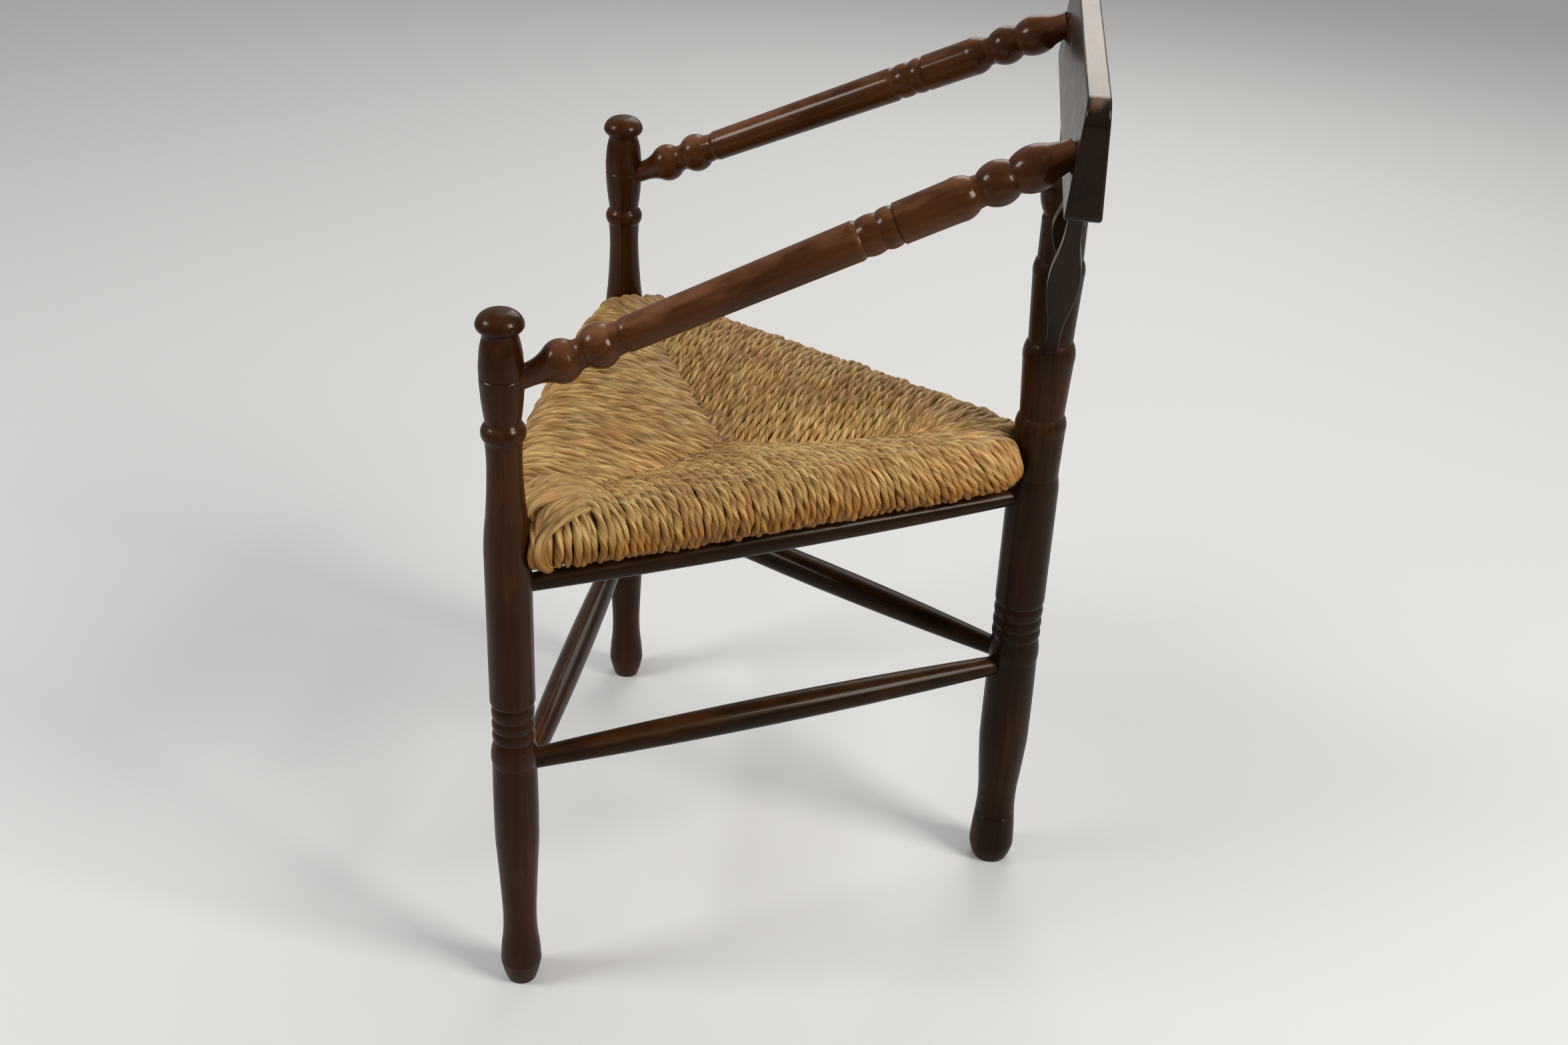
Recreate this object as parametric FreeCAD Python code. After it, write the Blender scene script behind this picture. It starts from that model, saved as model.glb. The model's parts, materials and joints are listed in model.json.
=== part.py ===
"""Three-legged turned corner chair with a rush seat, in millimetres, +Z up, facing -Y.

Two front posts and a back post splay a little towards the floor. Bars with round tenons tie
them, two turned arms rise from the front posts to a crest board on the back post, and two
pairs of wavy splats fan out from the back post to the board's under edge.
"""
import FreeCAD, Part

import os
from FreeCAD import Vector

# Plan of the posts: each axis is a straight line from the floor to its head
FRONT_FOOT_X = 234.5
FRONT_HEAD_X = 224.3
FRONT_HEAD_Z = 624.6
FRONT_HEAD_Y = -0.9
BACK_FOOT_Y = 402.0
BACK_HEAD_Y = 396.9
BOARD_BOTTOM_Z = 716.5

# Radii of the posts where bars enter them
FRONT_LEG_R = 18.2
FRONT_VASE_R = 16.4
BACK_LEG_R = 21.8
BACK_STEP_R = 19.4

# Joints: every bar goes in bodily for a little way, then as a narrower round tenon
FIT_GAP = 0.1
TENON_END_GAP = 0.6
BODY_DEPTH = 3.0

# Stretchers near the floor
STRETCHER_END_R = 8.6
LEFT_STRETCHER_MID_R = 12.6
RIGHT_STRETCHER_MID_R = 13.8
FRONT_STRETCHER_MID_R = 12.6
STRETCHER_TENON_R = 6.0
STRETCHER_TENON_DEPTH = 12.0
LEFT_STRETCHER_FRONT_Z = 229.0
LEFT_STRETCHER_BACK_Z = 221.5
RIGHT_STRETCHER_FRONT_Z = 223.5
RIGHT_STRETCHER_BACK_Z = 230.0
FRONT_STRETCHER_LEFT_Z = 199.0
FRONT_STRETCHER_RIGHT_Z = 174.0

# Bars just under the seat
SEAT_BAR_END_R = 7.3
SEAT_BAR_MID_R = 10.5
SEAT_BAR_TENON_R = 5.2
SEAT_BAR_TENON_DEPTH = 8.5
SEAT_BAR_GAP = 0.5

# Seat rails, hidden in the rush
RAIL_END_R = 8.4
RAIL_MID_R = 13.0
RAIL_TENON_R = 5.0
RAIL_TENON_DEPTH = 8.5
SIDE_RAIL_Z = 431.0
FRONT_RAIL_Z = SIDE_RAIL_Z + 4.0

# Rush: a roll of cords round each rail, and a field that sinks from the rolls to the middle
ROLL_R = 24.0
ROLL_OVERHANG = 3.0
ROLL_END_SETBACK = 12.0
FIELD_TOP_DROP = 2.5
FIELD_BOTTOM_RISE = 4.5
SEAT_SAG = 34.5
SEAT_UNDER_SAG = 10.5
SAG_POWER = 1.5
CORD_LAYER = 6.0
SOFT_GAP = 0.4
STUFFING_INSET = 30.0

# Arms: distances run along the arm's axis from the front post's axis
ARM_FRONT_Z = 565.5
ARM_BOARD_X = 167.5
ARM_BOARD_Z = 753.0
ARM_FRONT_R = 8.8
ARM_BACK_R = 10.3
ARM_TENON_R = 7.2
ARM_FRONT_TENON_DEPTH = 15.0
ARM_BOARD_TENON_DEPTH = 13.0
ARM_BODY_DEPTH = 2.5

# Crest board: each face is given by how far it stands behind the back post's axis, at the
# board's bottom edge and at its top edge
BOARD_LENGTH = 408.0
BOARD_HEIGHT = 83.0
BOARD_FRONT = (-12.0, -5.5)
BOARD_BACK = (14.2, 10.6)
BOARD_TOP_CORNER_R = 17.0
BOARD_BOTTOM_CORNER_R = 5.0
BOARD_EDGE_R = 2.2
POST_TENON_R = 8.0
POST_TENON_LENGTH = 30.0
BOARD_SEAT_GAP = 0.2

# Splats: flat wavy pieces, their width across the board's thickness; the inner pair is parallel
# to the outer pair and starts higher on the back post
SPLAT_THICKNESS = 8.0
SPLAT_FOOT_Z = 541.0
INNER_SPLAT_FOOT_Z = 608.0
SPLAT_TOP_X = 144.0
SPLAT_POST_DEPTH = 12.0
SPLAT_BOARD_DEPTH = 12.0
SPLAT_EDGE_R = 1.1
SPLAT_END_HALF_WIDTH = 5.5
SPLAT_TOP_HALF_WIDTH = 7.0
SPLAT_BELLY_HALF_WIDTH = 12.2
SPLAT_NECK_HALF_WIDTH = 6.0

FLOOR_CUT = 60.0

# Outlines of the turnings. A pair is a straight run to (height, radius); four numbers are an
# arc through the first pair to the second.
RING_GROOVE_IN = 1.5
FRONT_GROOVES = (252.5, 263.0, 274.0, 287.0)
BACK_GROOVES = (251.0, 262.0, 273.5, 286.5)
FRONT_RING_R = 17.3
BACK_RING_R = 21.6


def ring_group(grooves, radius):
    """Rounded rings, one between each two neighbouring grooves."""
    steps = []
    for low, high in zip(grooves, grooves[1:]):
        steps.append(((low + high) / 2, radius, high, radius - RING_GROOVE_IN))
    return steps


def front_post_outline():
    """Foot, swelling leg, rings, plain length, waist, collar, vase and cap."""
    outline = [(-8.0, 9.0), (8.0, 15.0, 20.5, 17.5), (35.0, 16.6, 48.0, 15.1)]
    outline += [(64.0, 14.3, 82.0, 14.6), (115.0, 16.2, 150.0, 18.2), (185.0, 18.5, 230.0, 18.0)]
    outline += [(248.0, 17.5, FRONT_GROOVES[0], FRONT_RING_R - RING_GROOVE_IN)]
    outline += ring_group(FRONT_GROOVES, FRONT_RING_R)
    outline += [(289.5, 17.7, 293.0, FRONT_LEG_R), (428.0, FRONT_LEG_R), (444.0, 17.4, 458.0, 15.9)]
    outline += [(478.0, 14.4, 499.0, 13.5), (510.0, 13.6, 520.5, 14.2), (522.3, 14.9)]
    outline += [(528.5, 17.0, 535.2, 14.4), (537.0, 13.4), (556.0, 15.8, 572.2, 16.6)]
    outline += [(573.0, 16.0), (573.8, 16.6), (580.0, 16.7, 588.0, 16.1), (598.0, 14.9, 604.5, 13.2)]
    outline += [(608.3, 13.6), (610.5, 16.9, 614.0, 17.9), (620.0, 15.0, FRONT_HEAD_Z - 0.6, 6.5)]
    outline += [(FRONT_HEAD_Z, 0.0)]
    return outline


def back_post_outline():
    """Foot, swelling leg, rings, plain length, three stepped shoulders, ball, neck and tenon."""
    outline = [(-8.0, 11.0), (4.0, 17.8, 16.0, 20.7), (30.0, 20.2, 51.3, 18.5)]
    outline += [(52.0, 17.9), (52.7, 18.4), (68.0, 17.8, 84.0, 18.2), (110.0, 20.3, 138.0, 22.2)]
    outline += [(180.0, 22.2, 228.0, 21.6)]
    outline += [(246.5, 21.3, BACK_GROOVES[0], BACK_RING_R - RING_GROOVE_IN)]
    outline += ring_group(BACK_GROOVES, BACK_RING_R)
    outline += [(289.0, 21.4, 293.0, BACK_LEG_R), (402.0, BACK_LEG_R), (410.0, 21.2, 416.0, 20.1)]
    outline += [(459.0, 21.2), (468.5, 20.8, 473.0, 18.7), (522.5, 21.3), (534.5, 20.8, 540.0, 18.4)]
    outline += [(597.0, 20.8), (607.0, 20.3, 611.5, 18.5), (645.0, 18.3), (648.5, 17.2)]
    seat = BOARD_BOTTOM_Z - BOARD_SEAT_GAP
    outline += [(662.0, 21.4, 686.0, 16.0), (694.0, 12.2, 702.0, 11.0), (seat, 11.8)]
    outline += [(seat, POST_TENON_R), (BOARD_BOTTOM_Z + POST_TENON_LENGTH, POST_TENON_R)]
    return outline


def arm_outline(length):
    """Neck, two balls, long tapering length, rings, short length, ball and bulb.

    The front part is given from the front post's axis and the rear part from the board's face.
    """
    front = [(23.0, 9.0), (35.0, 11.6, 39.0, 13.6), (48.4, 16.7, 57.0, 13.6)]
    front += [(62.5, 11.4, 68.0, 13.0), (80.0, 16.9, 89.0, 12.6), (95.0, 12.0), (97.0, 12.0)]
    front += [(99.0, 12.9, 104.0, 13.2)]
    rear = [(161.0, 14.8), (157.5, 14.5, 155.5, 13.4), (147.5, 14.9, 140.5, 13.6)]
    rear += [(134.0, 15.2, 128.0, 13.9), (127.0, 15.3), (86.0, 15.7), (76.0, 14.8, 71.0, 11.9)]
    rear += [(66.5, 11.5), (53.5, 16.2, 42.0, 12.2), (26.5, 16.5, 14.0, 12.8)]
    rear += [(7.0, 11.1, 0.0, ARM_BACK_R)]
    turned_round = []
    for step in rear:
        heights = [length - value if index % 2 == 0 else value for index, value in enumerate(step)]
        turned_round.append(tuple(heights))
    return front + turned_round


def front_axis(side, height):
    """Point on a front post's axis; side is 1 for the sitter's left, -1 for the right."""
    share = height / FRONT_HEAD_Z
    across = FRONT_FOOT_X + share * (FRONT_HEAD_X - FRONT_FOOT_X)
    return Vector(side * across, share * FRONT_HEAD_Y, height)


def back_axis(height):
    """Point on the back post's axis."""
    share = height / BOARD_BOTTOM_Z
    return Vector(0.0, BACK_FOOT_Y + share * (BACK_HEAD_Y - BACK_FOOT_Y), height)


def turned(outline, grow=0.0):
    """Solid of revolution about +Z from an outline, closed on the axis at both ends."""
    def point(height, radius):
        return Vector(max(radius + grow, 0.0), 0.0, height)

    first = outline[0]
    here = point(*first)
    edges = [Part.LineSegment(Vector(0, 0, first[0]), here).toShape()]
    for step in outline[1:]:
        there = point(*step[-2:])
        if len(step) == 4:
            edges.append(Part.Arc(here, point(*step[:2]), there).toShape())
        else:
            edges.append(Part.LineSegment(here, there).toShape())
        here = there
    if here.x > 0.0:
        top = Vector(0, 0, here.z)
        edges.append(Part.LineSegment(here, top).toShape())
        here = top
    edges.append(Part.LineSegment(here, Vector(0, 0, first[0])).toShape())
    face = Part.Face(Part.Wire(edges))
    return face.revolve(Vector(0, 0, 0), Vector(0, 0, 1), 360)


def along(shape, start, end):
    """The shape with its own +Z laid on the line from start to end."""
    turn = FreeCAD.Rotation(Vector(0, 0, 1), end - start)
    placed = shape.copy()
    placed.Placement = FreeCAD.Placement(start, turn)
    return placed


def bar(start, end, post_radii, tenon_r, tenon_depth, end_r, mid_r, gap=0.0):
    """A round bar from one post's axis to another's; a gap above zero makes its socket tool."""
    length = (end - start).Length
    end_gap = TENON_END_GAP if gap else 0.0
    first = post_radii[0] - tenon_depth - end_gap
    last = length - post_radii[1] + tenon_depth + end_gap
    near = post_radii[0] - BODY_DEPTH - gap
    far = length - post_radii[1] + BODY_DEPTH + gap
    outline = [(first, tenon_r), (near, tenon_r), (near, end_r)]
    if mid_r > end_r:
        outline.append(((near + far) / 2, mid_r, far, end_r))
    else:
        outline.append((far, end_r))
    outline += [(far, tenon_r), (last, tenon_r)]
    return along(turned(outline, gap), start, end)


def bars():
    """Every bar by name: its two ends, its posts' radii and its own sizes."""
    side_posts = (FRONT_LEG_R, BACK_LEG_R)
    front_posts = (FRONT_LEG_R, FRONT_LEG_R)
    stretcher = (STRETCHER_TENON_R, STRETCHER_TENON_DEPTH, STRETCHER_END_R)
    seat_bar = (SEAT_BAR_TENON_R, SEAT_BAR_TENON_DEPTH, SEAT_BAR_END_R, SEAT_BAR_MID_R)
    rail = (RAIL_TENON_R, RAIL_TENON_DEPTH, RAIL_END_R, RAIL_MID_R)

    def across(left_z, right_z):
        return front_axis(1, left_z), front_axis(-1, right_z), front_posts

    def beside(side, front_z, back_z):
        return front_axis(side, front_z), back_axis(back_z), side_posts

    bar_drop = ROLL_R + SEAT_BAR_GAP + SEAT_BAR_MID_R
    front_bar_z = FRONT_RAIL_Z - bar_drop
    side_bar_z = SIDE_RAIL_Z - bar_drop
    table = {
        "left_stretcher": (*beside(1, LEFT_STRETCHER_FRONT_Z, LEFT_STRETCHER_BACK_Z),
                           *stretcher, LEFT_STRETCHER_MID_R),
        "right_stretcher": (*beside(-1, RIGHT_STRETCHER_FRONT_Z, RIGHT_STRETCHER_BACK_Z),
                            *stretcher, RIGHT_STRETCHER_MID_R),
        "front_stretcher": (*across(FRONT_STRETCHER_LEFT_Z, FRONT_STRETCHER_RIGHT_Z),
                            *stretcher, FRONT_STRETCHER_MID_R),
        "front_seat_bar": (*across(front_bar_z, front_bar_z), *seat_bar),
        "front_seat_rail": (*across(FRONT_RAIL_Z, FRONT_RAIL_Z), *rail),
    }
    for name, side in (("left", 1), ("right", -1)):
        table[f"{name}_seat_bar"] = (*beside(side, side_bar_z, side_bar_z), *seat_bar)
        table[f"{name}_seat_rail"] = (*beside(side, SIDE_RAIL_Z, SIDE_RAIL_Z), *rail)
    return table


def board_face_y(face, height):
    """The crest board's front and back faces lean towards each other as they rise."""
    bottom, top = face
    share = (height - BOARD_BOTTOM_Z) / BOARD_HEIGHT
    return back_axis(BOARD_BOTTOM_Z).y + bottom + share * (top - bottom)


def crest_board_blank():
    """The board before its mortises: a tapering section with rounded corners and arrises."""
    top = BOARD_BOTTOM_Z + BOARD_HEIGHT
    half = BOARD_LENGTH / 2
    turns = [(BOARD_FRONT, BOARD_BOTTOM_Z), (BOARD_BACK, BOARD_BOTTOM_Z)]
    turns += [(BOARD_BACK, top), (BOARD_FRONT, top)]
    corners = [Vector(-half, board_face_y(face, height), height) for face, height in turns]
    board = Part.Face(Part.makePolygon(corners + corners[:1])).extrude(Vector(BOARD_LENGTH, 0, 0))

    def end_corners(height):
        return [edge for edge in board.Edges
                if all(abs(v.Point.z - height) < 0.01 for v in edge.Vertexes)
                and abs(edge.Vertexes[0].Point.x - edge.Vertexes[1].Point.x) < 0.01]

    board = board.makeFillet(BOARD_TOP_CORNER_R, end_corners(top))
    board = board.makeFillet(BOARD_BOTTOM_CORNER_R, end_corners(BOARD_BOTTOM_Z))

    def is_arris(edge):
        middle = edge.valueAt((edge.FirstParameter + edge.LastParameter) / 2)
        faces = (BOARD_FRONT, BOARD_BACK)
        return any(abs(middle.y - board_face_y(face, middle.z)) < 0.01 for face in faces)

    return board.makeFillet(BOARD_EDGE_R, [edge for edge in board.Edges if is_arris(edge)])


def arm_ends(side):
    """The arm's axis, from the front post's axis to the board's front face."""
    start = front_axis(side, ARM_FRONT_Z)
    end = Vector(side * ARM_BOARD_X, board_face_y(BOARD_FRONT, ARM_BOARD_Z), ARM_BOARD_Z)
    return start, end


def arm(side, gap=0.0):
    """A turned arm with a tenon at each end; a gap above zero makes its socket tool."""
    start, end = arm_ends(side)
    length = (end - start).Length
    end_gap = TENON_END_GAP if gap else 0.0
    first = FRONT_VASE_R - ARM_FRONT_TENON_DEPTH - end_gap
    near = FRONT_VASE_R - ARM_BODY_DEPTH - gap
    far = length + ARM_BODY_DEPTH + gap
    last = length + ARM_BOARD_TENON_DEPTH + end_gap
    outline = [(first, ARM_TENON_R), (near, ARM_TENON_R), (near, ARM_FRONT_R)]
    outline += arm_outline(length)
    outline += [(far, ARM_BACK_R), (far, ARM_TENON_R), (last, ARM_TENON_R)]
    return along(turned(outline, gap), start, end)


def splat_wave(length):
    """Points of a splat's wavy right-hand edge: foot, belly, neck and top."""
    foot, belly, neck = SPLAT_END_HALF_WIDTH, SPLAT_BELLY_HALF_WIDTH, SPLAT_NECK_HALF_WIDTH
    shares = [(0.09, foot), (0.24, 7.3), (0.35, 10.6), (0.46, belly), (0.57, 10.9), (0.67, 7.9)]
    shares += [(0.78, neck), (0.9, 6.1), (1.0, SPLAT_TOP_HALF_WIDTH)]
    return [(share * length, half_width) for share, half_width in shares]


def splat_ends(side, foot_z):
    """The splat's centre line, from the back post's surface to the board's under edge."""
    slope = (SPLAT_TOP_X - BACK_STEP_R) / (BOARD_BOTTOM_Z - SPLAT_FOOT_Z)
    top_x = BACK_STEP_R + slope * (BOARD_BOTTOM_Z - foot_z)
    start = back_axis(foot_z) + Vector(side * BACK_STEP_R, 0, 0)
    end = Vector(side * top_x, back_axis(BOARD_BOTTOM_Z).y, BOARD_BOTTOM_Z)
    return start, end


def splat(side, foot_z, gap=0.0):
    """A flat wavy splat; a gap above zero makes its socket tool, without rounded arrises."""
    start, end = splat_ends(side, foot_z)
    length = (end - start).Length
    wave = splat_wave(length)
    end_gap = TENON_END_GAP if gap else 0.0
    low = -SPLAT_POST_DEPTH - end_gap
    high = length + SPLAT_BOARD_DEPTH + end_gap
    thickness = SPLAT_THICKNESS + 2 * gap
    pieces = []
    for sign in (1, -1):
        points = [Vector(-thickness / 2, sign * (half + gap), height) for height, half in wave]
        foot = Vector(points[0].x, points[0].y, low)
        top = Vector(points[-1].x, points[-1].y, high)
        curve = Part.BSplineCurve()
        curve.interpolate(points, InitialTangent=Vector(0, 0, 1), FinalTangent=Vector(0, 0, 1))
        pieces += [Part.LineSegment(foot, points[0]).toShape(), curve.toShape()]
        pieces.append(Part.LineSegment(points[-1], top).toShape())
    for height, point in ((low, points[0]), (high, points[-1])):
        left, right = (Vector(point.x, side_y, height) for side_y in (point.y, -point.y))
        pieces.append(Part.LineSegment(left, right).toShape())
    wire = Part.Wire(Part.__sortEdges__(pieces))
    board = Part.Face(wire).extrude(Vector(thickness, 0, 0))
    if not gap:
        arrises = [e for e in board.Edges if abs(e.BoundBox.XMax - e.BoundBox.XMin) < 0.01
                   and e.BoundBox.ZLength > 1.0]
        board = board.makeFillet(SPLAT_EDGE_R, arrises)
    direction = (end - start).normalize()
    across = direction.cross(Vector(0, 1, 0)) * -1
    matrix = FreeCAD.Matrix(across.x, 0, direction.x, start.x,
                            across.y, 1, direction.y, start.y,
                            across.z, 0, direction.z, start.z,
                            0, 0, 0, 1)
    placed = board.copy()
    placed.Placement = FreeCAD.Placement(matrix)
    return placed


def seat_corners():
    """Plan corners of the seat: where the rails' axes meet the posts' axes."""
    left = front_axis(1, SIDE_RAIL_Z)
    back = back_axis(SIDE_RAIL_Z)
    return [Vector(left.x, left.y, 0), Vector(0, back.y, 0), Vector(-left.x, left.y, 0)]


def seat_middle(corners):
    """Middle of the circle that touches the three sides, where the seams meet."""
    total = Vector()
    weight = 0.0
    for index, corner in enumerate(corners):
        opposite = (corners[index - 1] - corners[index - 2]).Length
        total += corner * opposite
        weight += opposite
    return total * (1 / weight)


def dished(inset, layer):
    """Triangular body whose top and bottom sink to the seat's middle.

    It starts inwards of the rails' axes by the inset, and lies a layer inside the field's faces.
    """
    corners = seat_corners()
    middle = seat_middle(corners)
    high = SIDE_RAIL_Z + ROLL_R - FIELD_TOP_DROP - layer
    low = SIDE_RAIL_Z - ROLL_R + FIELD_BOTTOM_RISE + layer
    outer_share = inset / (middle.y - corners[0].y)

    def ring(share):
        """Plan points on the seams and, between them, on the panels, with each one's sinking."""
        points = []
        for index, corner in enumerate(corners):
            half = (corner + corners[index - 2]) * 0.5
            points.append((corner + (middle - corner) * share, share))
            points.append((half + (middle - half) * share, share ** SAG_POWER))
        return points

    def top(plan, sinking):
        return Vector(plan.x, plan.y, high - SEAT_SAG * sinking)

    def bottom(plan, sinking):
        return Vector(plan.x, plan.y, low - SEAT_UNDER_SAG * sinking)

    outer = [top(*point) for point in ring(outer_share)]
    halfway = [top(*point) for point in ring((outer_share + 1) / 2)]
    under = [bottom(plan, outer_share) for plan, _ in ring(outer_share)]
    crown, keel = top(middle, 1.0), bottom(middle, 1.0)
    outlines = []
    for here in range(len(outer)):
        after = (here + 1) % len(outer)
        seam, panel = (here, after) if here % 2 == 0 else (after, here)
        outlines.append((outer[seam], outer[panel], halfway[panel]))
        outlines.append((outer[seam], halfway[panel], halfway[seam]))
        outlines.append((halfway[here], halfway[after], crown))
        outlines.append((under[here], under[after], keel))
        outlines.append((outer[here], outer[after], under[after]))
        outlines.append((outer[here], under[after], under[here]))
    faces = [Part.Face(Part.makePolygon([*points, points[0]])) for points in outlines]
    return Part.Solid(Part.Shell(faces)).removeSplitter()


def stuffing(gap=0.0):
    """Packing between the rush's upper and lower layers; a gap grows it into its hollow."""
    return dished(STUFFING_INSET - gap, CORD_LAYER - gap)


def rush_seat(rails, posts):
    """Rolls round the rails and a dished field between them, cut clear of the posts."""
    seat = dished(0.0, 0.0)
    middle = seat_middle(seat_corners())
    for start, end in rails:
        line = (end - start).normalize()
        outward = line.cross(Vector(0, 0, 1)).normalize()
        if outward.dot(middle - start) > 0:
            outward = outward * -1
        first = start + outward * ROLL_OVERHANG + line * ROLL_END_SETBACK
        length = (end - start).Length - 2 * ROLL_END_SETBACK
        seat = seat.fuse(Part.makeCylinder(ROLL_R, length, first, line))
    for tool in posts:
        seat = seat.cut(tool)
    return seat


def post_clearances():
    """Plain round tools that keep the rush off the posts."""
    top = SIDE_RAIL_Z + ROLL_R * 2
    bottom = SIDE_RAIL_Z - ROLL_R * 2
    lines = [(front_axis(side, bottom), front_axis(side, top), FRONT_LEG_R) for side in (1, -1)]
    lines.append((back_axis(bottom), back_axis(top), BACK_LEG_R))
    tools = []
    for start, end, radius in lines:
        tools.append(Part.makeCylinder(radius + SOFT_GAP, (end - start).Length, start, end - start))
    return tools


def build():
    """Every node's shape by name."""
    table = bars()
    shapes = {name: bar(*row) for name, row in table.items()}
    sockets = {name: bar(*row, gap=FIT_GAP) for name, row in table.items()}
    shapes["left_arm"], shapes["right_arm"] = arm(1), arm(-1)
    arm_sockets = {1: arm(1, FIT_GAP), -1: arm(-1, FIT_GAP)}
    splat_sockets = []
    for name, side in (("left", 1), ("right", -1)):
        for kind, foot_z in (("splat", SPLAT_FOOT_Z), ("inner_splat", INNER_SPLAT_FOOT_Z)):
            shapes[f"{name}_{kind}"] = splat(side, foot_z)
            splat_sockets.append(splat(side, foot_z, FIT_GAP))
    width = 4 * FLOOR_CUT
    floor = Part.makeBox(width, width, FLOOR_CUT, Vector(-width / 2, -width / 2, -FLOOR_CUT))

    for name, side in (("left", 1), ("right", -1)):
        foot = front_axis(side, 0)
        post = along(turned(front_post_outline()), foot, front_axis(side, FRONT_HEAD_Z))
        for bar_name in ("front_stretcher", "front_seat_bar", "front_seat_rail", f"{name}_stretcher",
                         f"{name}_seat_bar", f"{name}_seat_rail"):
            post = post.cut(sockets[bar_name])
        post = post.cut(arm_sockets[side])
        shapes[f"front_{name}_post"] = post.cut(floor.translated(foot))

    foot = back_axis(0)
    post = along(turned(back_post_outline()), foot, back_axis(BOARD_BOTTOM_Z))
    for name in ("left", "right"):
        for kind in ("stretcher", "seat_bar", "seat_rail"):
            post = post.cut(sockets[f"{name}_{kind}"])
    for tool in splat_sockets:
        post = post.cut(tool)
    shapes["back_post"] = post.cut(floor.translated(foot))

    board = crest_board_blank()
    upwards = back_axis(BOARD_BOTTOM_Z) - foot
    post_socket = Part.makeCylinder(POST_TENON_R + FIT_GAP, POST_TENON_LENGTH + TENON_END_GAP + 1.0,
                                    back_axis(BOARD_BOTTOM_Z - 1.0), upwards)
    for tool in [post_socket, *arm_sockets.values(), *splat_sockets]:
        board = board.cut(tool)
    shapes["crest_board"] = board

    rails = ("front_seat_rail", "left_seat_rail", "right_seat_rail")
    seat = rush_seat([table[name][:2] for name in rails], post_clearances())
    for name in rails:
        seat = seat.cut(bar(*table[name], gap=SOFT_GAP))
    shapes["seat_stuffing"] = stuffing()
    shapes["rush_seat"] = seat.cut(stuffing(SOFT_GAP))
    return shapes


def main():
    """Centres the chair on its footprint and writes one STEP file per node."""
    os.makedirs("parts", exist_ok=True)
    shapes = build()
    box = Part.makeCompound(list(shapes.values())).optimalBoundingBox()
    shift = Vector(-(box.XMin + box.XMax) / 2, -(box.YMin + box.YMax) / 2, 0)
    for name, shape in shapes.items():
        placed = shape.translated(shift)
        if len(placed.Solids) == 1:
            placed = placed.Solids[0]
        print(name, "valid", placed.isValid(), "cm3", round(placed.Volume / 1000, 1))
        placed.exportStep(f"parts/{name}.step")
    print("shift", shift, "size", box.XLength, box.YLength, box.ZLength)


main()
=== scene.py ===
"""Looks of a turned corner chair with a rush seat, in metres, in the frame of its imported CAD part."""

import json
import logging
import math
import random
from dataclasses import dataclass, field
from enum import Enum

import bmesh
import bpy
import numpy as np
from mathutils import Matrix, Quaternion, Vector, noise

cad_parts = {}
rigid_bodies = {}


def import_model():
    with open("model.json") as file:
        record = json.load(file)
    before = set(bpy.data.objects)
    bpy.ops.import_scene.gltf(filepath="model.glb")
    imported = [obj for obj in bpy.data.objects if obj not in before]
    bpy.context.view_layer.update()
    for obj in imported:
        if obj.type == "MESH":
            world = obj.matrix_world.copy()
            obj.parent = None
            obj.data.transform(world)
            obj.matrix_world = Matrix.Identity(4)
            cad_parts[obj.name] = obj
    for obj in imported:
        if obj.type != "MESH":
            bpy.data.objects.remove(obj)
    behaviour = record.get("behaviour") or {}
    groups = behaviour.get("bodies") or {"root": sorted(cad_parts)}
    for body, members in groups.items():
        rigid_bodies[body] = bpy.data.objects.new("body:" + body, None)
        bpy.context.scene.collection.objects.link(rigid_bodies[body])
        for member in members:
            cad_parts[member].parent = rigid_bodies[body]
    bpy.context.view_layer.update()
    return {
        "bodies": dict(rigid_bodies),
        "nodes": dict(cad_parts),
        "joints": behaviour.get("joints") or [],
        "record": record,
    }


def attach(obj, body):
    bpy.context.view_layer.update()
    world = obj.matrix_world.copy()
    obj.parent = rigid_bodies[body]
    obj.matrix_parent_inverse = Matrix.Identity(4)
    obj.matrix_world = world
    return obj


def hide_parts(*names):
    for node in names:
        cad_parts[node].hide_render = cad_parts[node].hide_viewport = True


Value = float | bpy.types.NodeSocket
Colour = tuple | bpy.types.NodeSocket

LOG = logging.getLogger("corner_chair")
BODY = "root"
NOISE_SEED = 11
QUAD_CORNERS = 4
# Where the line between the two front feet lies along y.
FRONT_LINE_Y = -0.1978


def smooth(share: float) -> float:
    """Smooth step of a share held between 0 and 1."""
    held = min(max(share, 0.0), 1.0)
    return held * held * (3.0 - 2.0 * held)


def fading(distance: float, effect: tuple) -> float:
    """What is left of a local effect at a distance, from its size and the metres that it fades over."""
    size, reach = effect
    return size * (1.0 - smooth(distance / reach))


def rounded(corners: list, rounds: int = 2, cut: float = 0.25) -> list:
    """Cuts a line's corners off, keeping its ends.

    Args:
        corners: the line's points.
        rounds: how many times the corners are cut.
        cut: the share of each stretch that a cut takes at either end.

    Returns:
        Points of the rounder line.
    """
    for _ in range(rounds):
        softer = [corners[0]]
        for first, last in zip(corners[:-1], corners[1:]):
            softer += [first.lerp(last, cut), first.lerp(last, 1.0 - cut)]
        corners = [*softer, corners[-1]]
    return corners


@dataclass(frozen=True)
class Pattern:
    """One noise of a finish.

    stretch is its cycles per metre, or per unit of a UV map, on each axis, and detail how many finer
    layers it has. weight is how much it counts in the colour's tone, and depth its relief in metres.
    """

    stretch: tuple
    detail: float
    weight: float = 0.0
    depth: float = 0.0


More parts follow.
